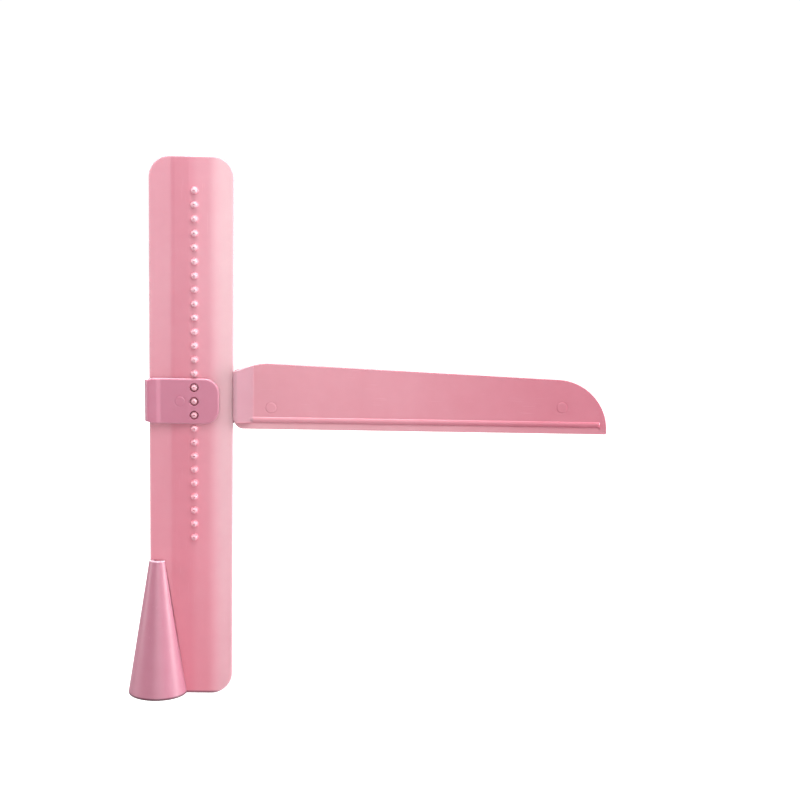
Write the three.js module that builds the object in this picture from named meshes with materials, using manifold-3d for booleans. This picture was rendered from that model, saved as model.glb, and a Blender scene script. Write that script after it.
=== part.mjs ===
// Adjustable cake scraper: an upright board with a row of pegs, a cone foot on its lower left corner,
// and an arm whose clip slides up and down the board and drops three holes over the pegs.
// Millimetres. +Z up, +X along the arm, -Y is the side with the pegs.
// The origin is the middle of the board's bottom edge.

import * as THREE from "three";
import { mergeVertices } from "three/addons/utils/BufferGeometryUtils.js";
import Module from "manifold-3d";

// Upright board
const boardWidth = 42;
const boardHeight = 274.5;
const boardThickness = 2.8;
const boardEdgeThickness = 1.7;
const boardCornerRadius = 10.5;
const plateauWidth = 17;

// Pegs on the board's front, as many as fit between the cone and the top margin
const pegPitch = 7;
const pegRadius = 1.75;
const pegHeight = 1.7;
const pegShoulder = 0.6;
const pegOffset = 1.7;
const pegStartAboveCone = 13.3;
const pegTopMargin = 16;

// Cone foot
const coneHeight = 69.4;
const coneBaseRadius = 15.1;
const coneTopRadius = 4.3;
const coneTopFillet = 0.8;
const coneProud = 0.5;
const coneWall = 2.7;
const coneRimWidth = 2.4;
const coneDish = 1;

// Clip
const clipHeight = 23.2;
const clipWall = 1.6;
const clipSideWall = 1.85;
const clipProud = 0.4;
const clipProudLength = 4.6;
const clipRamp = 1.5;
const tongueOverhang = 12;
const tongueCornerRadius = 6;
const tongueHoleCount = 3;
const tongueHoleRadius = 2.3;
const restPeg = 10;

// Arm blade, from the board's middle to its tip
const armReach = 210.4;
const bladeRootThickness = 1.4;
const bladeTipThickness = 0.9;
const bladeDrop = 13.9;
const bladeRootRise = 15.5;
const bladePeakRise = 19.6;
const bladeShoulder = 13.9;
const bladeShoulderRound = 4.4;
const bladeTipRise = 13.65;
const bladeTipRadius = 26;
const bladeTipCorner = 1;
const bladeHeelRadius = 5;
const flareLength = 8;

// Ridge and scraping lip along the foot of the blade
const ridgeRise = 5.5;
const ridgeRadius = 1.1;
const ridgeInset = 0.2;
const lipHeight = 4.4;
const lipRecess = 0.4;
const lipHeelRadius = 3.2;
const lipEndRim = 3.4;

// Clearances
const slideGap = 0.35;
const seatGap = 0.3;

// Places that follow from the sizes
const boardSide = boardWidth / 2;
const boardFront = -boardThickness / 2;
const coneOffset = boardSide + coneProud - coneTopRadius;
const lowestPegHeight = coneHeight + pegStartAboveCone;
const pegCount = 1 + Math.floor((boardHeight - pegTopMargin - lowestPegHeight) / pegPitch);
const channelSide = boardSide + slideGap;
const channelDepth = boardThickness / 2 + slideGap;
const clipSide = channelSide + clipSideWall;
const clipDepth = channelDepth + clipWall;
const clipFront = clipDepth + clipProud;
const tongueStart = -channelSide + seatGap;
const tongueEnd = pegOffset + tongueOverhang;
const armHeight = lowestPegHeight + restPeg * pegPitch;
const coneSlotLeft = -coneOffset - coneTopRadius + coneWall;
const flareEnd = clipSide + flareLength;
const beyond = 5;

const wasm = await Module();
wasm.setup();

// A closed three.js geometry as a solid that can be cut and joined.
function solid(geometry) {
  const bare = geometry.index ? geometry.toNonIndexed() : geometry.clone();
  bare.deleteAttribute("normal");
  bare.deleteAttribute("uv");
  const merged = mergeVertices(bare, 1e-4);
  return new wasm.Manifold(
    new wasm.Mesh({
      numProp: 3,
      vertProperties: new Float32Array(merged.attributes.position.array),
      triVerts: new Uint32Array(merged.index.array),
    }),
  );
}

function geometryOf(body) {
  const { numProp, vertProperties, triVerts } = body.getMesh();
  const positions = new Float32Array((vertProperties.length / numProp) * 3);
  for (let i = 0; i < positions.length / 3; i++)
    for (let k = 0; k < 3; k++) positions[3 * i + k] = vertProperties[numProp * i + k];
  const geometry = new THREE.BufferGeometry();
  geometry.setAttribute("position", new THREE.BufferAttribute(positions, 3));
  geometry.setIndex(new THREE.BufferAttribute(new Uint32Array(triVerts), 1));
  geometry.computeVertexNormals();
  return geometry;
}

function box(x0, x1, y0, y1, z0, z1) {
  const block = new THREE.BoxGeometry(x1 - x0, y1 - y0, z1 - z0);
  return solid(block.translate((x0 + x1) / 2, (y0 + y1) / 2, (z0 + z1) / 2));
}

// An outline drawn in X and Z, made thick from y0 to y1.
function standing(outline, y0, y1, curveSegments = 12) {
  const slab = new THREE.ExtrudeGeometry(outline, {
    depth: y1 - y0,
    bevelEnabled: false,
    curveSegments,
  });
  return solid(slab.rotateX(Math.PI / 2).translate(0, y1, 0));
}

// A section drawn in X and Y, carried up from z0 to z1.
function rising(section, z0, z1, curveSegments = 8) {
  const bar = new THREE.ExtrudeGeometry(section, {
    depth: z1 - z0,
    bevelEnabled: false,
    curveSegments,
  });
  return solid(bar.translate(0, 0, z0));
}

// A cylinder along Y.
function drum(x, z, radius, y0, y1, sides) {
  const barrel = new THREE.CylinderGeometry(radius, radius, y1 - y0, sides);
  return solid(barrel.translate(x, (y0 + y1) / 2, z));
}

function polygon(points) {
  return new THREE.Shape(points.map(([x, y]) => new THREE.Vector2(x, y)));
}

// The board's front: round corners, and a notch at the lower left that the cone fills.
function boardOutline() {
  const r = boardCornerRadius;
  const notchSide = coneSlotLeft + seatGap;
  const notchTop = coneHeight + seatGap;
  const outline = new THREE.Shape();
  outline.moveTo(notchSide, 0);
  outline.lineTo(boardSide - r, 0);
  outline.absarc(boardSide - r, r, r, -Math.PI / 2, 0, false);
  outline.absarc(boardSide - r, boardHeight - r, r, 0, Math.PI / 2, false);
  outline.absarc(r - boardSide, boardHeight - r, r, Math.PI / 2, Math.PI, false);
  outline.lineTo(-boardSide, notchTop);
  outline.lineTo(notchSide, notchTop);
  outline.closePath();
  return outline;
}

// The board's section: flat back, flat plateau in front, and a long arc down to each thin edge.
function boardSection() {
  const back = boardThickness / 2;
  const sag = boardThickness - boardEdgeThickness;
  const run = boardSide - plateauWidth / 2;
  const arcRadius = (run * run + sag * sag) / (2 * sag);
  const sweep = Math.asin(run / arcRadius);
  const centre = boardFront + arcRadius;
  const section = new THREE.Shape();
  section.moveTo(-boardSide, back);
  section.lineTo(-boardSide, boardFront + sag);
  section.absarc(-plateauWidth / 2, centre, arcRadius, -Math.PI / 2 - sweep, -Math.PI / 2, false);
  section.absarc(plateauWidth / 2, centre, arcRadius, -Math.PI / 2, -Math.PI / 2 + sweep, false);
  section.lineTo(boardSide, back);
  section.closePath();
  return section;
}

// One peg: a short post with a domed tip, standing on the plateau.
function peg(height) {
  const dome = pegHeight - pegShoulder;
  const domeSteps = 4;
  const profile = [new THREE.Vector2(0, -boardThickness / 4)];
  profile.push(new THREE.Vector2(pegRadius, -boardThickness / 4));
  for (let i = 0; i < domeSteps; i++) {
    const turn = ((Math.PI / 2) * i) / domeSteps;
    profile.push(new THREE.Vector2(pegRadius * Math.cos(turn), pegShoulder + dome * Math.sin(turn)));
  }
  profile.push(new THREE.Vector2(0, pegHeight));
  const post = new THREE.LatheGeometry(profile, 14);
  return solid(post.rotateX(Math.PI).translate(pegOffset, boardFront, height));
}

function uprightBoard() {
  let board = standing(boardOutline(), -beyond, beyond).intersect(
    rising(boardSection(), -beyond, boardHeight + beyond),
  );
  for (let i = 0; i < pegCount; i++) board = board.add(peg(lowestPegHeight + i * pegPitch));
  return board;
}

// The cone: round top edge, dished underside that leaves a rim, and a slot for the board.
function coneFoot() {
  const lean = Math.atan2(coneBaseRadius - coneTopRadius, coneHeight);
  const filletSteps = 4;
  const profile = [new THREE.Vector2(0, coneDish)];
  profile.push(new THREE.Vector2(coneBaseRadius - coneRimWidth - coneDish, coneDish));
  profile.push(new THREE.Vector2(coneBaseRadius - coneRimWidth, 0));
  profile.push(new THREE.Vector2(coneBaseRadius, 0));
  for (let i = 0; i <= filletSteps; i++) {
    const turn = lean + ((Math.PI / 2 - lean) * i) / filletSteps;
    profile.push(
      new THREE.Vector2(
        coneTopRadius - coneTopFillet * (1 - Math.cos(turn)),
        coneHeight - coneTopFillet * (1 - Math.sin(turn)),
      ),
    );
  }
  profile.push(new THREE.Vector2(0, coneHeight));
  const cone = new THREE.LatheGeometry(profile, 64);
  const slotDepth = boardThickness / 2 + seatGap;
  return solid(cone.rotateX(Math.PI / 2).translate(-coneOffset, 0, 0)).subtract(
    box(coneSlotLeft, boardSide, -slotDepth, slotDepth, -beyond, coneHeight + beyond),
  );
}

// The tongue over the pegs: round free corners, a thicker end by the clip's bend, and the peg holes.
function clipTongue() {
  const low = armHeight - clipHeight / 2;
  const high = armHeight + clipHeight / 2;
  const r = tongueCornerRadius;
  const outline = new THREE.Shape();
  outline.moveTo(tongueStart, low);
  outline.lineTo(tongueEnd - r, low);
  outline.absarc(tongueEnd - r, low + r, r, -Math.PI / 2, 0, false);
  outline.absarc(tongueEnd - r, high - r, r, 0, Math.PI / 2, false);
  outline.lineTo(tongueStart, high);
  outline.closePath();
  const proudEnd = tongueStart + clipProudLength;
  const section = polygon([
    [tongueStart, -clipFront],
    [proudEnd, -clipFront],
    [proudEnd + clipRamp, -clipDepth],
    [tongueEnd, -clipDepth],
    [tongueEnd, -channelDepth],
    [tongueStart, -channelDepth],
  ]);
  let tongue = standing(outline, -beyond, 0).intersect(rising(section, low - beyond, high + beyond));
  for (let i = 0; i < tongueHoleCount; i++) {
    const height = armHeight + (i - (tongueHoleCount - 1) / 2) * pegPitch;
    tongue = tongue.subtract(drum(pegOffset, height, tongueHoleRadius, -beyond, 0, 28));
  }
  return tongue;
}

// The blade seen from the front: it rises from the root to a soft shoulder, falls gently from there,
// and ends in a big round tip.
function bladeOutline() {
  const foot = armHeight - bladeDrop;
  const heel = channelSide + bladeHeelRadius;
  const root = new THREE.Vector2(channelSide, armHeight + bladeRootRise);
  const shoulder = new THREE.Vector2(channelSide + bladeShoulder, armHeight + bladePeakRise);
  const tip = new THREE.Vector2(armReach - bladeTipRadius, armHeight + bladeTipRise);
  const before = root.clone().lerp(shoulder, 1 - bladeShoulderRound / root.distanceTo(shoulder));
  const after = tip.clone().lerp(shoulder, 1 - bladeShoulderRound / tip.distanceTo(shoulder));
  const corner = bladeTipCorner;
  const outline = new THREE.Shape();
  outline.moveTo(heel, foot);
  outline.lineTo(armReach - corner, foot);
  outline.absarc(armReach - corner, foot + corner, corner, -Math.PI / 2, 0, false);
  outline.absarc(tip.x, tip.y - bladeTipRadius, bladeTipRadius, 0, Math.PI / 2, false);
  outline.lineTo(after.x, after.y);
  outline.quadraticCurveTo(shoulder.x, shoulder.y, before.x, before.y);
  outline.lineTo(root.x, root.y);
  outline.lineTo(channelSide, foot + bladeHeelRadius);
  outline.absarc(heel, foot + bladeHeelRadius, bladeHeelRadius, Math.PI, Math.PI * 1.5, false);
  return outline;
}

// The blade seen from above: the root is as deep as the clip, flares down to the blade, and thins.
function bladeSection() {
  const front = -bladeRootThickness / 2;
  return polygon([
    [channelSide, -clipFront],
    [clipSide, -clipFront],
    [flareEnd, front],
    [armReach, front],
    [armReach, front + bladeTipThickness],
    [flareEnd, -front],
    [clipSide, clipDepth],
    [channelSide, clipDepth],
  ]);
}

// The part of the arm that wraps the board: the bend on the left and the plate behind.
function clipChannel() {
  const low = armHeight - clipHeight / 2;
  const high = armHeight + clipHeight / 2;
  const r = clipSideWall * 0.9;
  const section = new THREE.Shape();
  section.moveTo(-channelSide, -clipFront);
  section.lineTo(-channelSide, channelDepth);
  section.lineTo(channelSide, channelDepth);
  section.lineTo(clipSide, clipDepth);
  section.lineTo(r - clipSide, clipDepth);
  section.absarc(r - clipSide, clipDepth - r, r, Math.PI / 2, Math.PI, false);
  section.absarc(r - clipSide, r - clipFront, r, Math.PI, Math.PI * 1.5, false);
  section.closePath();
  return rising(section, low, high);
}

// What is cut from the front below the ridge: it turns up round the root's lower corner on the left
// and stops at the rim by the tip.
function lipRoom() {
  const foot = armHeight - bladeDrop;
  const top = foot + lipHeight;
  const r = lipHeelRadius;
  const outline = new THREE.Shape();
  outline.moveTo(channelSide - beyond, foot - beyond);
  outline.lineTo(armReach - lipEndRim, foot - beyond);
  outline.lineTo(armReach - lipEndRim, top);
  outline.lineTo(channelSide + r, top);
  outline.absarc(channelSide + r, top + r, r, -Math.PI / 2, -Math.PI, true);
  outline.lineTo(channelSide - beyond, top + r);
  outline.closePath();
  const front = -bladeRootThickness / 2;
  return standing(outline, front - beyond, front + lipRecess);
}

function armBlade() {
  const front = -bladeRootThickness / 2;
  const foot = armHeight - bladeDrop;
  const plate = standing(bladeOutline(), -beyond, beyond, 20).intersect(
    rising(bladeSection(), foot - beyond, armHeight + bladePeakRise + beyond),
  );
  const ridgeStart = clipSide + ridgeRadius;
  const ridgeLength = armReach - lipEndRim - ridgeStart;
  const ridge = new THREE.CapsuleGeometry(ridgeRadius, ridgeLength, 4, 12);
  ridge.rotateZ(Math.PI / 2);
  ridge.translate(ridgeStart + ridgeLength / 2, front + ridgeInset, foot + ridgeRise);
  return plate.subtract(lipRoom()).add(solid(ridge)).add(clipChannel());
}

const pink = (color, roughness) => new THREE.MeshStandardMaterial({ color, roughness, metalness: 0 });

const pieces = {
  upright_board: [uprightBoard, pink(0xe79aab, 0.35)],
  cone_foot: [coneFoot, pink(0xd88fa4, 0.38)],
  arm_blade: [armBlade, pink(0xe493a4, 0.36)],
  clip_tongue: [clipTongue, pink(0xd4859c, 0.36)],
};

const group = new THREE.Group();
for (const [name, [make, material]] of Object.entries(pieces)) {
  const mesh = new THREE.Mesh(geometryOf(make()), material);
  mesh.name = name;
  group.add(mesh);
}

export default group;
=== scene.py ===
import math

import bmesh
import bpy
from mathutils import Matrix, Vector


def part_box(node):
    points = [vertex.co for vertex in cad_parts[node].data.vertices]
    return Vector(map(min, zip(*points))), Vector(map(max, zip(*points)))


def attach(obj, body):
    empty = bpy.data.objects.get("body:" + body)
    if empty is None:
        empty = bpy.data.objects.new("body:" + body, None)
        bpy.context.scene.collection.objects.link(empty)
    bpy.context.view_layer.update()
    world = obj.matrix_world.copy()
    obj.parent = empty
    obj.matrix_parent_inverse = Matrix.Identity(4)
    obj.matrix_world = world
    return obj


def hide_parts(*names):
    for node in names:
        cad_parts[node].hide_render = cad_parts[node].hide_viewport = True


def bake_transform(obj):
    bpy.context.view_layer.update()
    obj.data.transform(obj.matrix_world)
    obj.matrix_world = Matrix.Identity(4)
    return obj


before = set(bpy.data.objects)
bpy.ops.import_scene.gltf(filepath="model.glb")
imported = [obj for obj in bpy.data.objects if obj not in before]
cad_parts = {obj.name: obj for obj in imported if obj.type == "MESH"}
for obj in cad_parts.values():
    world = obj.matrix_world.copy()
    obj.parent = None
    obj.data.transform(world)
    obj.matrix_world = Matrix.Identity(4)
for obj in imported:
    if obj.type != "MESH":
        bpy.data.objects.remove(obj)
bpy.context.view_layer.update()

scene = bpy.context.scene
toMetres = 0.001    # the shapes below are drawn in millimetres
touching = 0.001    # places closer than this, in millimetres, count as one
slack = 0.01        # how far past a plane a point has to lie to be beyond it


def cadCorners(node):
    low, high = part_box(node)
    return low / toMetres, high / toMetres


boardHigh = cadCorners("upright_board")[1]
coneLow, coneHigh = cadCorners("cone_foot")
armLow, armHigh = cadCorners("arm_blade")
tongueLow, tongueHigh = cadCorners("clip_tongue")
armHeight = (tongueLow.z + tongueHigh.z) / 2
coneTop = coneHigh.z + 0.7      # the cone's rim stands a little above its plain solid
print("frame loaded: board", round(boardHigh.z), "mm tall, arm out to", round(armHigh.x), "mm")


def smooth(value, start, end):
    t = min(1.0, max(0.0, (value - start) / (end - start)))
    return t * t * (3 - 2 * t)


def roundedLoop(corners, arcSteps=10):
    # corners are (x, z, radius) in order; each radius becomes a fillet tangent to both sides
    loop = []
    for i, (x, z, radius) in enumerate(corners):
        here = Vector((x, z))
        back = (Vector(corners[i - 1][:2]) - here).normalized()
        ahead = (Vector(corners[(i + 1) % len(corners)][:2]) - here).normalized()
        if radius == 0:
            loop.append(here)
            continue
        half = back.angle(ahead) / 2
        start = here + back * radius / math.tan(half)
        centre = here + (back + ahead).normalized() * radius / math.sin(half)
        turn = math.copysign(math.pi - 2 * half, ahead.cross(back))
        for k in range(arcSteps + 1):
            loop.append(centre + Matrix.Rotation(turn * k / arcSteps, 2) @ (start - centre))
    return loop


def addFace(bm, loop, y):
    return bm.faces.new([bm.verts.new((x, y, z)) for x, z in loop])


def pushBack(bm, faces, y):
    # thickens flat faces into a slab whose far side lies at y
    made = bmesh.ops.extrude_face_region(bm, geom=faces)
    for vert in made["geom"]:
        if isinstance(vert, bmesh.types.BMVert):
            vert.co.y = y
    bmesh.ops.recalc_face_normals(bm, faces=bm.faces)


def roundEdges(bm, edges, radius, segments=4):
    bmesh.ops.bevel(bm, geom=edges, offset=radius, offset_type="OFFSET", segments=segments,
                    profile=0.5, affect="EDGES", material=-1)


def edgesAt(bm, y, keep=lambda vert: True):
    # the sharp edges that lie in the plane at y
    return [edge for edge in bm.edges
            if all(abs(vert.co.y - y) < touching and keep(vert) for vert in edge.verts)
            and edge.calc_face_angle(0) > 0.5]


def looksAhead(face, left, right, backToo=False):
    # whether a face looks to the front, or to the back too, with its middle between two places in x
    forward = abs(face.normal.y) if backToo else -face.normal.y
    return forward > 0.9 and left < face.calc_center_median().x < right


def cutAcross(bm, axis, places, keep=lambda face: True):
    # straight cuts square to an axis, through all faces or only those that keep picks
    normal = Vector([1.0 if k == axis else 0.0 for k in "xyz"])
    for place in places:
        faces = [face for face in bm.faces if keep(face)]
        edges = {edge for face in faces for edge in face.edges}
        verts = {vert for face in faces for vert in face.verts}
        bmesh.ops.bisect_plane(bm, geom=faces + list(edges) + list(verts), dist=0.0005,
                               plane_co=normal * place, plane_no=normal)


def steps(start, end, count):
    return [start + (end - start) * k / count for k in range(count + 1)]


def faceNear(bm, place, facing):
    # the face whose middle is nearest to a place, on the side that faces that way along Y
    sided = [face for face in bm.faces if face.normal.y * facing > 0.9]
    return min(sided, key=lambda face: (face.calc_center_median() - place).length)


def makeRound(bm, face, centre, radius, splits=5):
    # insets a square cell and turns its inner face into a circle
    bmesh.ops.inset_individual(bm, faces=[face], thickness=0.1)
    bmesh.ops.bisect_edges(bm, edges=face.edges[:], cuts=splits)
    verts = face.verts[:]
    first = verts[0].co - centre
    last = verts[1].co - centre
    angle = math.atan2(first.z, first.x)
    turn = math.copysign(math.tau / len(verts), first.x * last.z - first.z * last.x)
    for k, vert in enumerate(verts):
        vert.co.x = centre.x + radius * math.cos(angle + turn * k)
        vert.co.z = centre.z + radius * math.sin(angle + turn * k)


def growRings(bm, face, centre, rings):
    # extrudes a round face again and again; each ring is (radius, rise off the surface)
    level = face.verts[0].co.y
    side = math.copysign(1, face.normal.y)
    for radius, rise in rings:
        face = bmesh.ops.extrude_discrete_faces(bm, faces=[face])["faces"][0]
        for vert in face.verts:
            out = Vector((vert.co.x - centre.x, 0, vert.co.z - centre.z)).normalized()
            vert.co = Vector((centre.x, level + side * rise, centre.z)) + out * radius
    return face


# an ejector mark's rings, from its edge in: how far in, and how far proud
markProfile = ((0.15, -0.07), (0.4, -0.07), (0.6, 0.04), (1.0, 0.05))


def ejectorMark(bm, centre, radius):
    # the faint ring that an ejector pin leaves on a front, and the disc inside it a hair proud
    face = faceNear(bm, centre, -1)
    makeRound(bm, face, centre, radius)
    growRings(bm, face, centre, [(radius - inset, rise) for inset, rise in markProfile])


def finishPiece(bm, name, material):
    # shades the shape smooth, brings it to metres and makes its object at the origin
    bmesh.ops.remove_doubles(bm, verts=bm.verts, dist=0.002)
    bmesh.ops.recalc_face_normals(bm, faces=bm.faces)
    bmesh.ops.scale(bm, vec=(toMetres,) * 3, verts=bm.verts)
    for face in bm.faces:
        face.smooth = True
    mesh = bpy.data.meshes.new(name)
    bm.to_mesh(mesh)
    bm.free()
    mesh.materials.append(material)
    piece = bpy.data.objects.new(name, mesh)
    scene.collection.objects.link(piece)
    weighted = piece.modifiers.new("flat faces stay flat", "WEIGHTED_NORMAL")
    weighted.weight = 100
    print(name, "made:", len(mesh.polygons), "faces")
    return piece


def startGroup(name, inputs, outputs):
    group = bpy.data.node_groups.new(name, "ShaderNodeTree")
    for label, kind in inputs:
        group.interface.new_socket(label, in_out="INPUT", socket_type=kind)
    for label, kind in outputs:
        group.interface.new_socket(label, in_out="OUTPUT", socket_type=kind)
    return group, group.nodes.new("NodeGroupInput"), group.nodes.new("NodeGroupOutput")


def addNode(tree, kind, settings=None, values=None):
    node = tree.nodes.new(kind)
    for key, value in (settings or {}).items():
        setattr(node, key, value)
    for key, value in (values or {}).items():
        node.inputs[key].default_value = value
    return node


def addMaths(tree, operation, *values, clamp=False):
    # each value is a number or the socket that gives one
    node = addNode(tree, "ShaderNodeMath", {"operation": operation, "use_clamp": clamp})
    for socket, value in zip(node.inputs, values):
        if isinstance(value, (int, float)):
            socket.default_value = value
        else:
            tree.links.new(value, socket)
    return node.outputs[0]


def addNoise(tree, place, scale, detail, stretch=(1, 1, 1)):
    mapping = addNode(tree, "ShaderNodeMapping", None, {"Scale": stretch})
    noise = addNode(tree, "ShaderNodeTexNoise", None, {"Scale": scale, "Detail": detail})
    tree.links.new(place, mapping.inputs["Vector"])
    tree.links.new(mapping.outputs[0], noise.inputs["Vector"])
    return noise.outputs["Fac"]


def mixColours(tree, factor, first, second, blend="MIX"):
    # a colour mix keeps its two colours in sockets 6 and 7, and its result in output 2
    mix = addNode(tree, "ShaderNodeMix", {"data_type": "RGBA", "blend_type": blend})
    tree.links.new(factor, mix.inputs[0])
    for slot, colour in ((6, first), (7, second)):
        if isinstance(colour, tuple):
            mix.inputs[slot].default_value = (*colour, 1)
        else:
            tree.links.new(colour, mix.inputs[slot])
    return mix.outputs[2]


def makePigmentGroup():
    # pigment that did not mix quite evenly: wide flow streaks and small cloudy patches
    group, start, end = startGroup(
        "uneven pigment",
        [("Place", "NodeSocketVector"), ("Light", "NodeSocketColor"), ("Deep", "NodeSocketColor")],
        [("Colour", "NodeSocketColor")])
    place = start.outputs["Place"]
    flow = addNoise(group, place, scale=30, detail=3, stretch=(1, 1, 0.35))
    patches = addNoise(group, place, scale=160, detail=4)
    blend = addMaths(group, "MULTIPLY_ADD", flow, 0.75, addMaths(group, "MULTIPLY", patches, 0.3))
    wide = addNode(group, "ShaderNodeMapRange", None, {"From Min": 0.34, "From Max": 0.7})
    group.links.new(blend, wide.inputs["Value"])
    colour = mixColours(group, wide.outputs[0], start.outputs["Deep"], start.outputs["Light"])
    group.links.new(colour, end.inputs["Colour"])
    return group


def makeMouldGroup():
    # the satin skin that a spark-eroded mould gives: fine grain on faint sink waves
    group, start, end = startGroup(
        "mould skin",
        [("Place", "NodeSocketVector"), ("Smoothest", "NodeSocketFloat"),
         ("Roughest", "NodeSocketFloat")],
        [("Height", "NodeSocketFloat"), ("Roughness", "NodeSocketFloat")])
    place = start.outputs["Place"]
    grain = addNoise(group, place, scale=2600, detail=2)
    waves = addNoise(group, place, scale=45, detail=1, stretch=(1, 1, 0.5))
    blotch = addNoise(group, place, scale=60, detail=2)
    height = addMaths(group, "MULTIPLY_ADD", waves, 3.0, addMaths(group, "MULTIPLY", grain, 0.35))
    group.links.new(height, end.inputs["Height"])
    spread = addNode(group, "ShaderNodeMapRange", None, {"From Min": 0.2, "From Max": 0.8})
    group.links.new(blotch, spread.inputs["Value"])
    group.links.new(start.outputs["Smoothest"], spread.inputs["To Min"])
    group.links.new(start.outputs["Roughest"], spread.inputs["To Max"])
    group.links.new(spread.outputs[0], end.inputs["Roughness"])
    return group


def makeScuffGroup():
    # hairline scratches that run one way, thin and broken up
    group, start, end = startGroup(
        "hairline scuffs",
        [("Place", "NodeSocketVector"), ("Stretch", "NodeSocketVector")],
        [("Mask", "NodeSocketFloat")])
    stretched = addNode(group, "ShaderNodeVectorMath", {"operation": "MULTIPLY"})
    group.links.new(start.outputs["Place"], stretched.inputs[0])
    group.links.new(start.outputs["Stretch"], stretched.inputs[1])
    lines = addNoise(group, stretched.outputs[0], scale=2000, detail=2)
    breaks = addNoise(group, start.outputs["Place"], scale=70, detail=2)
    thin = addNode(group, "ShaderNodeMapRange", None, {"From Min": 0.64, "From Max": 0.72})
    group.links.new(lines, thin.inputs["Value"])
    broken = addNode(group, "ShaderNodeMapRange", None, {"From Min": 0.5, "From Max": 0.6})
    group.links.new(breaks, broken.inputs["Value"])
    mask = addMaths(group, "MULTIPLY", thin.outputs[0], broken.outputs[0])
    group.links.new(mask, end.inputs["Mask"])
    return group


def makeRimHighlightGroup():
    # how near a point is to the outline of a rounded rectangle that stands in X and Z: the mask of a
    # painted rim highlight
    group, start, end = startGroup(
        "painted rim highlight",
        [("Place", "NodeSocketVector"), ("Middle", "NodeSocketVector"),
         ("Half Size", "NodeSocketVector"), ("Corner", "NodeSocketFloat"),
         ("Width", "NodeSocketFloat")],
        [("Mask", "NodeSocketFloat")])
    offset = addNode(group, "ShaderNodeVectorMath", {"operation": "SUBTRACT"})
    group.links.new(start.outputs["Place"], offset.inputs[0])
    group.links.new(start.outputs["Middle"], offset.inputs[1])
    folded = addNode(group, "ShaderNodeVectorMath", {"operation": "ABSOLUTE"})
    group.links.new(offset.outputs[0], folded.inputs[0])
    inner = addNode(group, "ShaderNodeVectorMath", {"operation": "SUBTRACT"})
    group.links.new(folded.outputs[0], inner.inputs[0])
    group.links.new(start.outputs["Half Size"], inner.inputs[1])
    apart = addNode(group, "ShaderNodeSeparateXYZ")
    group.links.new(inner.outputs[0], apart.inputs[0])
    corner = start.outputs["Corner"]
    across = addMaths(group, "MAXIMUM", addMaths(group, "ADD", apart.outputs[0], corner), 0.0)
    along = addMaths(group, "MAXIMUM", addMaths(group, "ADD", apart.outputs[2], corner), 0.0)
    squares = addMaths(group, "ADD", addMaths(group, "MULTIPLY", across, across),
                       addMaths(group, "MULTIPLY", along, along))
    inside = addMaths(group, "SUBTRACT", corner, addMaths(group, "SQRT", squares))
    near = addMaths(group, "DIVIDE", inside, start.outputs["Width"])
    mask = addMaths(group, "SUBTRACT", 1.0, near, clamp=True)
    group.links.new(addMaths(group, "MULTIPLY", mask, mask), end.inputs["Mask"])
    return group


def makeFadeGroup():
    # runs smoothly from 0 at Start to 1 at End, measured along one direction
    group, start, end = startGroup(
        "fade along",
        [("Place", "NodeSocketVector"), ("Way", "NodeSocketVector"),
         ("Start", "NodeSocketFloat"), ("End", "NodeSocketFloat")],
        [("Mask", "NodeSocketFloat")])
    along = addNode(group, "ShaderNodeVectorMath", {"operation": "DOT_PRODUCT"})
    group.links.new(start.outputs["Place"], along.inputs[0])
    group.links.new(start.outputs["Way"], along.inputs[1])
    ramp = addNode(group, "ShaderNodeMapRange", {"interpolation_type": "SMOOTHSTEP"})
    group.links.new(along.outputs["Value"], ramp.inputs["Value"])
    group.links.new(start.outputs["Start"], ramp.inputs["From Min"])
    group.links.new(start.outputs["End"], ramp.inputs["From Max"])
    group.links.new(ramp.outputs[0], end.inputs["Mask"])
    return group


pigmentGroup = makePigmentGroup()
mouldGroup = makeMouldGroup()
scuffGroup = makeScuffGroup()
rimHighlightGroup = makeRimHighlightGroup()
fadeGroup = makeFadeGroup()


def placeGroup(tree, group, links, values):
    node = addNode(tree, "ShaderNodeGroup", {"node_tree": group}, values)
    for key, source in links.items():
        tree.links.new(source, node.inputs[key])
    return node


def joinMasks(tree, place, masks):
    # multiplies fades, each (direction, start, end) with its lengths in millimetres
    product = 1.0
    for way, start, end in masks:
        fade = placeGroup(tree, fadeGroup, {"Place": place},
                          {"Way": way, "Start": start * toMetres, "End": end * toMetres})
        product = addMaths(tree, "MULTIPLY", fade.outputs["Mask"], product)
    return product


plastic = {
    "grainDepth": 0.04,             # millimetres that the skin's bumps stand for
    "scuffRoughness": 0.35, "scuffDepth": 0.6,
    "glowReach": (1.0, 0.32, 0.42),     # how far each colour of light travels inside
}


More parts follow.
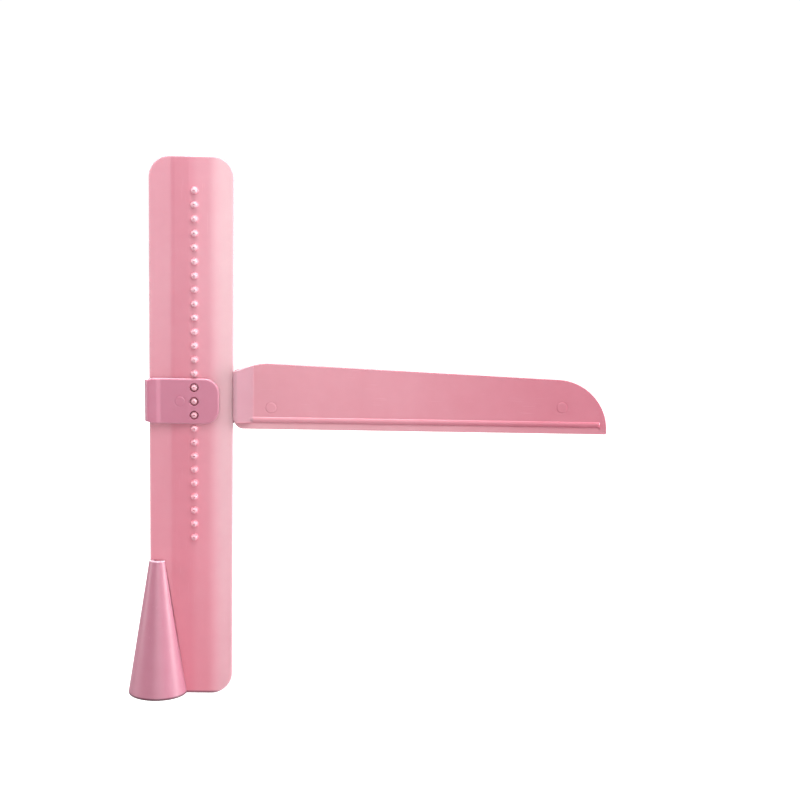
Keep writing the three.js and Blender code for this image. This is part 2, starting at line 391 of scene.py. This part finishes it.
def makePlastic(name, look, rim=None):
    # semi-translucent satin plastic; rim is (middle, half size, corner) in mm of a rounded plate whose
    # outline gets a painted highlight
    material = bpy.data.materials.new(name)
    material.use_nodes = True
    tree = material.node_tree
    shader = tree.nodes["Principled BSDF"]
    place = addNode(tree, "ShaderNodeTexCoord").outputs["Object"]
    pigment = placeGroup(tree, pigmentGroup, {"Place": place},
                         {"Light": (*look["light"], 1), "Deep": (*look["deep"], 1)})
    colour = pigment.outputs["Colour"]
    for masks, tint in look["fades"]:
        # each fade multiplies in a tint of painted light or shade, as listed with each look
        colour = mixColours(tree, joinMasks(tree, place, masks), colour, tint, "MULTIPLY")
    if rim:
        middle, half, corner = rim
        # the painted rim highlight: the colour turns paler near the plate's outline
        glow = placeGroup(tree, rimHighlightGroup, {"Place": place},
                          {"Middle": [v * toMetres for v in middle],
                           "Half Size": [v * toMetres for v in half],
                           "Corner": corner * toMetres, "Width": look["rimWidth"] * toMetres})
        amount = addMaths(tree, "MULTIPLY", glow.outputs["Mask"], look["rimHighlight"])
        amount = addMaths(tree, "MULTIPLY", amount, joinMasks(tree, place, look["rimMasks"]))
        colour = mixColours(tree, amount, colour, look["rimHighlightColour"])
    scuffs = placeGroup(tree, scuffGroup, {"Place": place}, {"Stretch": look["scuffStretch"]})
    scuffed = addMaths(tree, "MULTIPLY", scuffs.outputs["Mask"], look["scuffs"])
    colour = mixColours(tree, scuffed, colour, look["scuffColour"])
    tree.links.new(colour, shader.inputs["Base Color"])
    skin = placeGroup(tree, mouldGroup, {"Place": place},
                      {"Smoothest": look["smoothest"], "Roughest": look["roughest"]})
    rough = addMaths(tree, "ADD", skin.outputs["Roughness"],
                     addMaths(tree, "MULTIPLY", scuffed, plastic["scuffRoughness"]), clamp=True)
    tree.links.new(rough, shader.inputs["Roughness"])
    bump = addNode(tree, "ShaderNodeBump", None,
                   {"Strength": look["bump"], "Distance": plastic["grainDepth"] * toMetres})
    height = addMaths(tree, "SUBTRACT", skin.outputs["Height"],
                      addMaths(tree, "MULTIPLY", scuffed, plastic["scuffDepth"]))
    tree.links.new(height, bump.inputs["Height"])
    tree.links.new(bump.outputs[0], shader.inputs["Normal"])
    shader.inputs["IOR"].default_value = look["ior"]
    shader.inputs["Subsurface Weight"].default_value = look["translucent"]
    shader.inputs["Subsurface Radius"].default_value = plastic["glowReach"]
    shader.inputs["Subsurface Scale"].default_value = look["glowDepth"] * toMetres
    return material


cone = {
    "base": 15.1, "top": 4.3, "topRound": 0.5, "rim": 2.4, "dish": 1.0, "footRound": 0.7,
    "wall": 2.7,            # from the cone's left at its top to the slot
    # the play left for the board: beside its faces, at the slot's inner end and over the rim
    "slotGap": 0.04, "slotEnd": 0.3, "slotTop": 0.05,
}
coneLook = {
    "light": (0.42, 0.163, 0.226), "deep": (0.385, 0.137, 0.195),
    "fades": [
        # painted light on the cone's flat top, in place of the shade the clip casts there
        ([((0, 0, 1), coneTop - 0.7, coneTop - 0.1)], (1.5, 2.7, 2.3)),
        # painted contact shadow: a dark line along the foot
        ([((0, 0, 1), 1.5, 0.9)], (0.3, 0.2, 0.25)),
    ],
    "scuffColour": (0.75, 0.42, 0.50), "scuffs": 0.1, "scuffStretch": (1, 1, 0.06),
    "smoothest": 0.37, "roughest": 0.46, "bump": 0.5, "ior": 1.62,
    "translucent": 0.12, "glowDepth": 1.5,
}


def makeCone():
    axis = (coneLow.x + coneHigh.x) / 2
    base = cone["base"]
    lean = math.atan2(base - cone["top"], coneTop)
    bm = bmesh.new()
    profile = [(0, cone["dish"]), (base - cone["rim"] - cone["dish"], cone["dish"]),
               (base - cone["rim"], 0)]
    for k in range(4):
        turn = math.pi / 2 * k / 3
        profile.append((base - cone["footRound"] * (1 - math.sin(turn)),
                        cone["footRound"] * (1 - math.cos(turn))))
    topRound = cone["topRound"]
    for k in range(7):
        turn = lean + (math.pi / 2 - lean) * k / 6
        profile.append((cone["top"] - topRound * (1 - math.cos(turn)),
                        coneTop - topRound * (1 - math.sin(turn))))
    profile.append((0, coneTop))
    line = [bm.verts.new((x, 0, z)) for x, z in profile]
    edges = [bm.edges.new(pair) for pair in zip(line, line[1:])]
    bmesh.ops.spin(bm, geom=line + edges, cent=(0, 0, 0), axis=(0, 0, 1), angle=math.tau,
                   steps=96, use_merge=True)
    bmesh.ops.remove_doubles(bm, verts=bm.verts, dist=touching)
    bmesh.ops.recalc_face_normals(bm, faces=bm.faces)
    bmesh.ops.translate(bm, vec=(axis, 0, 0), verts=bm.verts)
    slot = axis - cone["top"] + cone["wall"]
    half = board["thickness"] / 2 + cone["slotGap"]
    cutAcross(bm, "y", [-half, half])
    cutAcross(bm, "x", [slot])
    gone = [face for face in bm.faces if abs(face.calc_center_median().y) < half
            and face.calc_center_median().x > slot]
    bmesh.ops.delete(bm, geom=gone, context="FACES")
    for y in (-half, half):
        bm.edges.new([vert for vert in bm.verts
                      if abs(vert.co.y - y) < touching and abs(vert.co.x - slot) < touching])
    for y in (-half, half):
        walls = [edge for edge in bm.edges if len(edge.link_faces) < 2
                 and all(abs(vert.co.y - y) < touching for vert in edge.verts)]
        bmesh.ops.contextual_create(bm, geom=walls)
    heel = [edge for edge in bm.edges if len(edge.link_faces) < 2]
    bmesh.ops.contextual_create(bm, geom=heel)
    return finishPiece(bm, "coneFoot", makePlastic("cone plastic", coneLook))


board = {
    "thickness": 2.8, "edgeThickness": 1.3, "corner": 10.5, "plateau": 17,
    "fallRound": 4.5,       # how softly the plateau turns into the fall
    "rimRound": 0.6,
    # left of the pegs the front slopes back to a soft step, and the margin beyond lies lower
    "slopeStart": -1.2, "slopeFall": 0.45, "stepFrom": -7.4, "stepTo": -10.4, "stepFall": 0.34,
    "slopeFrom": 79, "slopeGone": 45,      # heights between which the slope fades away
    "pegPitch": 7, "pegTopMargin": 16, "pegStart": 13.3, "pegX": 1.7,
    "pegCell": 2.6,         # half the width of the square that each peg rises from
    "pegSkirt": 0.25,       # flat ring round a peg's foot
    "pegRadius": 1.75, "pegHeight": 2.4, "pegShoulder": 0.8, "pegFoot": 0.35,
    "domeTurn": 72,         # degrees that the dome turns through before the dimple
    "dimple": 0.55, "dimpleDepth": 0.9,
}
boardFront = ((0, -1, 0), -1.2, -0.5)     # keeps a fade off the board's back
boardLook = {
    "light": (0.645, 0.292, 0.350), "deep": (0.61, 0.255, 0.315),
    # each fade: its masks (direction, start, end), then its tint
    "fades": [
        # painted shade: darker towards the bottom
        ([((0, 0, 1), 230, 20)], (1.05, 0.84, 0.88)),
        # painted shadow of the pegs: darker from the crease rightwards
        ([((1, 0, 0), -12, -8), boardFront], (0.97, 0.85, 0.88)),
        # lifts the colour again right of the pegs, so the painted peg shadow stays a band
        ([((1, 0, 0), -1, 4), boardFront], (1.03, 1.16, 1.12)),
        # painted sheen on the right fall: paler towards the edge
        ([((1, 0, 0), 7, 17), boardFront], (0.94, 1.27, 1.15)),
        # more painted sheen on the right fall's lower part
        ([((1, 0, 0), 7, 17), ((0, 0, 1), 200, 60), boardFront], (1.02, 1.12, 1.12)),
        ([((0, -1, 0), 2.4, 3.7)], (1.06, 1.5, 1.38)),   # painted highlight on the peg tips
        # painted contact shadow: a dark line along the foot
        ([((0, 0, 1), 1.5, 0.9)], (0.3, 0.18, 0.25)),
    ],
    # painted highlight along the board's rounded outline
    "rimHighlightColour": (0.70, 0.46, 0.51), "rimHighlight": 0.75, "rimWidth": 1.4, "rimMasks": [],
    "scuffColour": (0.85, 0.52, 0.58), "scuffs": 0.12, "scuffStretch": (1, 1, 0.03),
    "smoothest": 0.28, "roughest": 0.38, "bump": 0.5, "ior": 1.5,
    "translucent": 0.12, "glowDepth": 1.5,
}


def boardFall(x, z):
    # how far the board's front lies behind its plateau
    if x > 0:
        out = max(0.0, x - board["plateau"] / 2)
        turn = board["fallRound"]
        fallWidth = boardHigh.x - board["plateau"] / 2
        slope = (board["thickness"] - board["edgeThickness"]) / (fallWidth - turn / 2)
        return slope * (out * out / (2 * turn) if out < turn else out - turn / 2)
    shown = smooth(z, board["slopeGone"], board["slopeFrom"])
    sloped = (board["slopeStart"] - x) / (board["slopeStart"] - board["stepFrom"])
    stepped = smooth(-x, -board["stepFrom"], -board["stepTo"])
    return shown * (board["slopeFall"] * min(1.0, max(0.0, sloped)) + board["stepFall"] * stepped)


def pegRings():
    # a peg from its foot fillet up over the shoulder and dome to the dimple in its tip
    radius = board["pegRadius"]
    foot = board["pegFoot"]
    shoulder = board["pegShoulder"]
    rise = board["pegHeight"]
    rings = []
    for k in range(1, 4):
        turn = math.pi / 2 * k / 3
        rings.append((radius + foot * (1 - math.sin(turn)), foot * (1 - math.cos(turn))))
    rings.append((radius, shoulder))
    for k in range(1, 7):
        turn = math.radians(board["domeTurn"] * k / 6)
        rings.append((radius * math.cos(turn), shoulder + (rise - shoulder) * math.sin(turn)))
    deepest = board["dimpleDepth"]
    for share, depth in ((0.85, 0.02), (0.65, 0.12), (0.45, deepest), (0.2, deepest + 0.03)):
        rings.append((board["dimple"] * share, rise - depth))
    return rings


def makeBoard():
    front = -board["thickness"] / 2
    back = board["thickness"] / 2
    side = boardHigh.x
    top = boardHigh.z
    # the board's lower left corner is cut away where the cone's slot takes the board
    notchSide = coneLow.x + cone["base"] - cone["top"] + cone["wall"] + cone["slotEnd"]
    notchTop = coneTop + cone["slotTop"]
    corner = board["corner"]
    bm = bmesh.new()
    loop = roundedLoop([(notchSide, 0, 0), (side, 0, corner), (side, top, corner),
                        (-side, top, corner), (-side, notchTop, 0), (notchSide, notchTop, 0)], 14)
    addFace(bm, loop, front)
    pushBack(bm, bm.faces[:], back)
    roundEdges(bm, edgesAt(bm, front) + edgesAt(bm, back), board["rimRound"])
    edge = side - board["rimRound"]
    fallStart = board["plateau"] / 2
    turned = fallStart + board["fallRound"]
    slopeStart = board["slopeStart"]
    xCuts = steps(fallStart, turned, 7) + steps(turned, edge, 4)
    xCuts += steps(slopeStart, board["stepFrom"], 5)
    xCuts += steps(board["stepFrom"], board["stepTo"], 10)
    pegX = board["pegX"]
    cell = board["pegCell"]
    xCuts += [pegX - cell, pegX + cell]
    cutAcross(bm, "x", xCuts)
    cutAcross(bm, "z", steps(board["slopeGone"], board["slopeFrom"], 10),
              lambda face: looksAhead(face, -side, slopeStart))
    lowest = coneHigh.z + board["pegStart"]
    count = 1 + math.floor((top - board["pegTopMargin"] - lowest) / board["pegPitch"])
    pegs = [lowest + k * board["pegPitch"] for k in range(count)]
    cutAcross(bm, "z", [z + d for z in pegs for d in (-cell, cell)],
              lambda face: looksAhead(face, pegX - cell, pegX + cell))
    for vert in bm.verts:
        share = (back - vert.co.y) / board["thickness"]
        vert.co.y += share * boardFall(vert.co.x, vert.co.z)
    bmesh.ops.recalc_face_normals(bm, faces=bm.faces)
    rings = pegRings()
    for z in pegs:
        centre = Vector((pegX, front, z))
        face = faceNear(bm, centre, -1)
        makeRound(bm, face, centre, rings[0][0] + board["pegSkirt"])
        growRings(bm, face, centre, rings)
    return finishPiece(bm, "pegBoard", makePlastic("board plastic", boardLook, (
        (0, 0, top / 2), (side, 0, top / 2), corner)))


arm = {
    "drop": 13.9, "rootRise": 15.5, "shoulder": 13.9, "peakRise": 19.6, "shoulderRound": 27,
    "tipRise": 12.6, "tipRound": 26, "tipCorner": 1, "heelRound": 5,
    "rootThickness": 1.4, "tipThickness": 0.9, "rootSide": 21.35, "clipSide": 23.2, "flare": 8,
    "rootCorner": 0.6, "lipCorner": 0.7,
    "lipHeight": 3.2, "lipRecess": 0.32, "lipHeel": 2.4, "lipRim": 3.4,
    "lipTilt": 0.5,         # how far the lip comes forward again towards its lower edge
    "ridgeRise": 4.95, "ridgeRadius": 1.45, "ridgeProud": 0.7,
    "rimRound": 0.28,
    # the ejector marks: each one's x and its height over the clip's middle
    "marks": ((40.1, -3.0), (187.4, -0.6)), "markRadius": 3.2, "markMargin": 0.4,
    "flareMargin": 0.5,         # how far past the flare its fine cuts go on
    "spanCuts": (50, 180),      # the long stretch that is cut evenly, to thin towards the tip
}
armFoot = armHeight - arm["drop"]
lipTop = armFoot + arm["lipHeight"]
flareEnd = arm["clipSide"] + arm["flare"]
armFront = ((0, -1, 0), -0.4, 0.3)      # keeps a fade off the arm's back
armLook = {
    "light": (0.615, 0.262, 0.315), "deep": (0.58, 0.23, 0.28),
    "fades": [
        # painted shade: darker towards the tip
        ([((1, 0, 0), 31, 205)], (0.79, 0.52, 0.60)),
        # painted shade on the flared root's front: less red where its slant catches the light
        ([((1, 0, 0), flareEnd + 0.6, flareEnd - 0.6), ((0, 0, 1), lipTop, lipTop + 1), armFront],
         (0.79, 0.96, 0.96)),
        # painted highlight on the lip below the ridge
        ([((0, 0, 1), lipTop, lipTop - 1.5), armFront], (0.98, 1.15, 1.08)),
    ],
    "scuffColour": (0.80, 0.46, 0.53), "scuffs": 0.08, "scuffStretch": (0.04, 1, 1),
    "smoothest": 0.28, "roughest": 0.40, "bump": 0.5, "ior": 1.49,
    "translucent": 0.12, "glowDepth": 1.2,
}


def flareAt(x, side):
    # how far the arm's root flares out to meet the clip, given where its front or back ends in y
    rootProud = side - arm["rootThickness"] / 2
    return rootProud * min(1.0, max(0.0, (flareEnd - x) / arm["flare"]))


def frontRise(x, z):
    # how far the blade's front stands forward of its flat face: the flare at the root, or the ridge
    pastRidge = x - (armHigh.x - arm["lipRim"] - arm["ridgeRadius"])
    offRidge = z - armFoot - arm["ridgeRise"]
    reach = math.hypot(max(0.0, pastRidge), offRidge) / arm["ridgeRadius"]
    ridge = arm["ridgeProud"] * math.sqrt(max(0.0, 1 - reach * reach))
    return max(flareAt(x, -armLow.y), ridge)


def backRise(x):
    # how far the blade's back moves from its flat place: out at the root, in towards the tip
    thinning = (arm["rootThickness"] - arm["tipThickness"]) * max(0.0, x - flareEnd)
    return flareAt(x, armHigh.y) - thinning / (armHigh.x - flareEnd)


def makeArm():
    tip = armHigh.x
    root = arm["rootSide"]
    lipEnd = tip - arm["lipRim"]
    front = -arm["rootThickness"] / 2
    lip = front + arm["lipRecess"]
    back = arm["rootThickness"] / 2
    heel = arm["lipHeel"]
    bm = bmesh.new()
    blade = addFace(bm, roundedLoop([
        (root, lipTop, heel), (lipEnd, lipTop, arm["lipCorner"]), (lipEnd, armFoot, 0),
        (tip, armFoot, arm["tipCorner"]), (tip, armHeight + arm["tipRise"], arm["tipRound"]),
        (root + arm["shoulder"], armHeight + arm["peakRise"], arm["shoulderRound"]),
        (root, armHeight + arm["rootRise"], arm["rootCorner"])], 16), lip)
    addFace(bm, roundedLoop([
        (root, armFoot, arm["heelRound"]), (lipEnd, armFoot, 0),
        (lipEnd, lipTop, arm["lipCorner"]), (root, lipTop, heel), (root, lipTop + heel, 0)], 16), lip)
    bmesh.ops.remove_doubles(bm, verts=bm.verts, dist=touching)
    pushBack(bm, bm.faces[:], back)
    raised = bmesh.ops.extrude_face_region(bm, geom=[blade])
    for vert in raised["geom"]:
        if isinstance(vert, bmesh.types.BMVert):
            vert.co.y = front
    bmesh.ops.recalc_face_normals(bm, faces=bm.faces)
    rim = arm["rimRound"]
    roundEdges(bm, edgesAt(bm, front), rim)
    roundEdges(bm, edgesAt(bm, lip, lambda vert: vert.co.z < lipTop - slack), rim)
    roundEdges(bm, edgesAt(bm, back, lambda vert: vert.co.x > root + touching), rim)
    marks = [Vector((x, front, armHeight + rise)) for x, rise in arm["marks"]]
    cell = arm["markRadius"] + arm["markMargin"]
    xCuts = steps(root + arm["rootCorner"], flareEnd + arm["flareMargin"], 20)
    xCuts += steps(lipEnd - arm["ridgeRadius"], lipEnd, 6)
    xCuts += [mark.x + d for mark in marks for d in (-cell, cell)]
    xCuts += steps(*arm["spanCuts"], 10)
    cutAcross(bm, "x", xCuts)
    ridgeTop = armFoot + arm["ridgeRise"] + arm["ridgeRadius"]
    cutAcross(bm, "z", steps(lipTop + rim, ridgeTop, 10))
    for mark in marks:
        cutAcross(bm, "z", [mark.z - cell, mark.z + cell],
                  lambda face: looksAhead(face, mark.x - cell, mark.x + cell, backToo=True))
    for vert in bm.verts:
        if vert.co.y < lip - slack:
            vert.co.y -= frontRise(vert.co.x, vert.co.z)
        elif vert.co.y < lip + rim + slack and vert.co.z < lipTop - slack:
            vert.co.y -= arm["lipTilt"] * (lipTop - vert.co.z) / arm["lipHeight"]
        elif vert.co.y > lip + slack:
            vert.co.y += backRise(vert.co.x)
    bmesh.ops.recalc_face_normals(bm, faces=bm.faces)
    for mark in marks:
        ejectorMark(bm, mark, arm["markRadius"])
    return finishPiece(bm, "armBlade", makePlastic("arm plastic", armLook))


clip = {
    "height": 23.2, "wall": 1.6, "sideWall": 1.85, "proud": 0.4, "inside": 1.75, "bendRadius": 0.6,
    "tongueCorner": 7.4, "longer": 0.6, "wrapTrim": 0.8, "rimRound": 0.95, "innerRound": 0.2,
    "holeRadius": 2.2, "holeRound": 0.3, "holeCell": 3.2,
    "markAt": -5.4, "markRadius": 3.0, "markMargin": 0.3,
    "proudStart": -17.4, "proudEnd": -14.8,     # where the front thins from the bend to the tongue
    "bendEase": (-0.6, 1.6),        # where the wrap starts to narrow, from the bend's start
    "plateEase": (-6, -1),          # where the plate widens again, from the plate's start
    "frontCuts": -14,               # how far onto the front the bend's fine cuts go on
    "plateCuts": (-60, -30),        # the flat plate's stretch that is cut evenly
}
clipLook = {
    "light": (0.505, 0.183, 0.26), "deep": (0.465, 0.152, 0.225),
    # painted sheen on the wrap's left side: paler there
    "fades": [([((1, 0, 0), -21, -22.6)], (0.95, 1.2, 1.1))],
    # painted highlight along the tongue's rounded rim, on its front only
    "rimHighlightColour": (0.74, 0.42, 0.49), "rimHighlight": 0.42, "rimWidth": 1.5,
    "rimMasks": [((0, -1, 0), 1.4, 2.2)],
    "scuffColour": (0.74, 0.40, 0.50), "scuffs": 0.1, "scuffStretch": (1, 1, 0.05),
    "smoothest": 0.28, "roughest": 0.40, "bump": 0.5, "ior": 1.49,
    "translucent": 0.12, "glowDepth": 1.2,
}
bendStart = clip["bendRadius"] - arm["rootSide"]          # where the front leaves the straight
bendLength = math.pi / 2 * (clip["bendRadius"] + clip["wall"] / 2)
wallLength = 2 * (clip["inside"] - clip["bendRadius"])
wallStart = bendStart - bendLength
secondBend = wallStart - wallLength
plateStart = secondBend - bendLength
plateEnd = plateStart - (arm["rootSide"] - bendStart)


def wrapAround(u, depth):
    # carries a point of the flat strip round the board's left edge: u along it, depth outwards
    radius = clip["bendRadius"] + depth
    centreX = bendStart
    centreY = clip["inside"] - clip["bendRadius"]
    if u >= bendStart:
        return u, -clip["inside"] - depth
    if u >= wallStart:
        turn = (bendStart - u) / bendLength * math.pi / 2
        return centreX - radius * math.sin(turn), -centreY - radius * math.cos(turn)
    if u >= secondBend:
        return -arm["rootSide"] - depth, -centreY + (wallStart - u)
    if u >= plateStart:
        turn = (secondBend - u) / bendLength * math.pi / 2
        return centreX - radius * math.cos(turn), centreY + radius * math.sin(turn)
    return bendStart + (plateStart - u), clip["inside"] + depth


def makeClip():
    low = armHeight - clip["height"] / 2
    high = armHeight + clip["height"] / 2
    end = tongueHigh.x + clip["longer"]
    thick = clip["wall"]
    corner = clip["tongueCorner"]
    bm = bmesh.new()
    addFace(bm, roundedLoop([(plateEnd, low, 0), (end, low, corner), (end, high, corner),
                             (plateEnd, high, 0)], 14), -thick)
    pushBack(bm, bm.faces[:], 0)
    for y, radius, segments in ((-thick, clip["rimRound"], 5), (0, clip["innerRound"], 2)):
        # the strip's straight end, behind the arm's root, stays square
        roundEdges(bm, [edge for edge in edgesAt(bm, y)
                        if any(vert.co.x > plateEnd + slack for vert in edge.verts)], radius, segments)
    holeX = board["pegX"]
    cell = clip["holeCell"]
    markX = clip["markAt"]
    markCell = clip["markRadius"] + clip["markMargin"]
    xCuts = [holeX - cell, holeX + cell, markX - markCell, markX + markCell]
    xCuts += steps(plateStart, bendStart, 30) + steps(bendStart, clip["frontCuts"], 16)
    xCuts += steps(*clip["plateCuts"], 4)
    cutAcross(bm, "x", xCuts)
    holes = [armHeight + k * board["pegPitch"] for k in (-1, 0, 1)]
    cutAcross(bm, "z", [z + d for z in holes for d in (-cell, cell)],
              lambda face: looksAhead(face, holeX - cell, holeX + cell, backToo=True))
    cutAcross(bm, "z", [armHeight - markCell, armHeight + markCell],
              lambda face: looksAhead(face, markX - markCell, markX + markCell))
    rounding = clip["holeRound"]
    rings = [(clip["holeRadius"] + rounding * (1 - math.sin(turn)), -rounding * (1 - math.cos(turn)))
             for turn in steps(0, math.pi / 2, 3)[1:]]
    for z in holes:
        ends = []
        for y, facing in ((-thick, -1), (0, 1)):
            centre = Vector((holeX, y, z))
            face = faceNear(bm, centre, facing)
            makeRound(bm, face, centre, clip["holeRadius"] + rounding)
            ends.append(growRings(bm, face, centre, rings))
        loops = [edge for face in ends for edge in face.edges]
        bmesh.ops.delete(bm, geom=ends, context="FACES_ONLY")
        bmesh.ops.bridge_loops(bm, edges=loops)
    ejectorMark(bm, Vector((markX, -thick, armHeight)), clip["markRadius"])
    wallProud = clip["sideWall"] - thick
    bendEase = [bendStart + ease for ease in clip["bendEase"]]
    plateEase = [plateStart + ease for ease in clip["plateEase"]]
    trim = clip["wrapTrim"] / (clip["height"] / 2)
    for vert in bm.verts:
        u = vert.co.x
        depth = -vert.co.y
        wrapped = 1 - smooth(u, *bendEase)
        released = smooth(u, *plateEase)
        narrowed = 1 - trim * wrapped * released
        proud = clip["proud"] * (1 - smooth(u, clip["proudStart"], clip["proudEnd"]))
        proud += (wallProud - proud) * (1 - smooth(u, wallStart, bendStart))
        proud *= smooth(u, plateStart, secondBend)
        depth *= 1 + proud / thick
        x, y = wrapAround(u, depth)
        vert.co = Vector((x, y, armHeight + (vert.co.z - armHeight) * narrowed))
    # the painted rim highlight is the tongue's alone, so its outline is carried far to the left
    farLeft = 100
    middle = (end - farLeft, 0, armHeight)
    half = (farLeft, 0, clip["height"] / 2)
    return finishPiece(bm, "clipBand", makePlastic("clip plastic", clipLook, (middle, half, corner)))


boardPiece = makeBoard()
conePiece = makeCone()
armPiece = makeArm()
clipPiece = makeClip()

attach(boardPiece, "upright")
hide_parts("upright_board")
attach(conePiece, "upright")
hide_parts("cone_foot")
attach(armPiece, "arm")
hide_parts("arm_blade")
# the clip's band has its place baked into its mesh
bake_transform(clipPiece)
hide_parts("clip_tongue")
print("pieces ride on their bodies")


studio = {
    "floorRadius": 6.0, "floorColour": (0.35, 0.35, 0.352),
    "worldLight": 0.08, "backdropLight": 1.05,
    "floorLift": 1.0,       # how much brighter the floor looks to the camera than it shines
    "lights": {
        # name: (place, aimed at, width, height, watts), metres
        "rightStrip": ((0.97, -0.066, 0.27), (0.03, 0, 0.16), 0.25, 0.7, 13.8),
        "leftStrip": ((-0.91, -0.083, 0.32), (0.03, 0, 0.16), 0.25, 0.6, 5.2),
        "highFront": ((0.05, -0.35, 0.8), (0.03, 0, 0.2), 0.4, 0.3, 3.0),
        "lowRight": ((0.275, -0.914, 0.27), (0.03, 0, 0.16), 0.4, 0.5, 2.2),
        "lowFront": ((0.03, -0.946, 0.27), (0.03, 0, 0.16), 0.4, 0.5, 1.4),
        "overhead": ((0.03, -0.03, 1.15), (0.03, -0.01, 0), 0.6, 0.12, 12),
        "sparkle": ((0.60, -0.62, 0.73), (0.03, 0, 0.16), 0.14, 0.14, 2.2),
        "backWash": ((-0.35, 1.0, 0.6), (0.05, 0, 0.16), 0.7, 0.7, 15),
    },
    "azimuth": -1.283, "elevation": 8.156, "roll": 1.108, "distance": 0.758, "lens": 67.46,
    "aimAboveClip": 2.0,
}


def makeFloor():
    bm = bmesh.new()
    bmesh.ops.create_circle(bm, cap_ends=True, radius=studio["floorRadius"], segments=64)
    mesh = bpy.data.meshes.new("floor")
    bm.to_mesh(mesh)
    bm.free()
    floor = bpy.data.objects.new("floor", mesh)
    scene.collection.objects.link(floor)
    material = bpy.data.materials.new("pale floor")
    material.use_nodes = True
    shader = material.node_tree.nodes["Principled BSDF"]
    shader.inputs["Base Color"].default_value = (*studio["floorColour"], 1)
    shader.inputs["Roughness"].default_value = 0.9
    shader.inputs["Specular IOR Level"].default_value = 0.1
    shader.inputs["Emission Color"].default_value = (1, 1, 1, 1)
    rays = addNode(material.node_tree, "ShaderNodeLightPath")
    lift = addMaths(material.node_tree, "MULTIPLY", rays.outputs["Is Camera Ray"],
                    studio["floorLift"])
    material.node_tree.links.new(lift, shader.inputs["Emission Strength"])
    mesh.materials.append(material)


def makeWorld():
    # plain white behind everything, softer as a light than it looks to the camera
    world = bpy.data.worlds.new("studio")
    scene.world = world
    world.use_nodes = True
    tree = world.node_tree
    backdrop = tree.nodes["Background"]
    backdrop.inputs["Color"].default_value = (1, 1, 1, 1)
    rays = addNode(tree, "ShaderNodeLightPath")
    strength = addNode(tree, "ShaderNodeMapRange", None,
                       {"To Min": studio["worldLight"], "To Max": studio["backdropLight"]})
    tree.links.new(rays.outputs["Is Camera Ray"], strength.inputs["Value"])
    tree.links.new(strength.outputs[0], backdrop.inputs["Strength"])


def makeLights():
    for name, (place, aim, width, height, watts) in studio["lights"].items():
        light = bpy.data.lights.new(name, "AREA")
        light.shape = "RECTANGLE"
        light.size = width
        light.size_y = height
        light.energy = watts
        lamp = bpy.data.objects.new(name, light)
        lamp.location = place
        lamp.visible_camera = False
        lamp.rotation_euler = (Vector(aim) - Vector(place)).to_track_quat("-Z", "Y").to_euler()
        scene.collection.objects.link(lamp)


def makeCamera():
    turn = math.radians(studio["azimuth"])
    rise = math.radians(studio["elevation"])
    away = Vector((math.sin(turn) * math.cos(rise), -math.cos(turn) * math.cos(rise),
                   math.sin(rise)))
    aim = Vector((armHigh.x / 2, 0, armHeight + studio["aimAboveClip"])) * toMetres
    data = bpy.data.cameras.new("camera")
    data.lens = studio["lens"]
    data.sensor_width = 36
    camera = bpy.data.objects.new("camera", data)
    level = (-away).to_track_quat("-Z", "Y").to_matrix().to_4x4()
    rolled = level @ Matrix.Rotation(math.radians(studio["roll"]), 4, "Z")
    camera.matrix_world = Matrix.Translation(aim + away * studio["distance"]) @ rolled
    scene.collection.objects.link(camera)
    scene.camera = camera


makeFloor()
makeWorld()
makeLights()
makeCamera()
scene.view_settings.view_transform = "Standard"
print("studio ready")
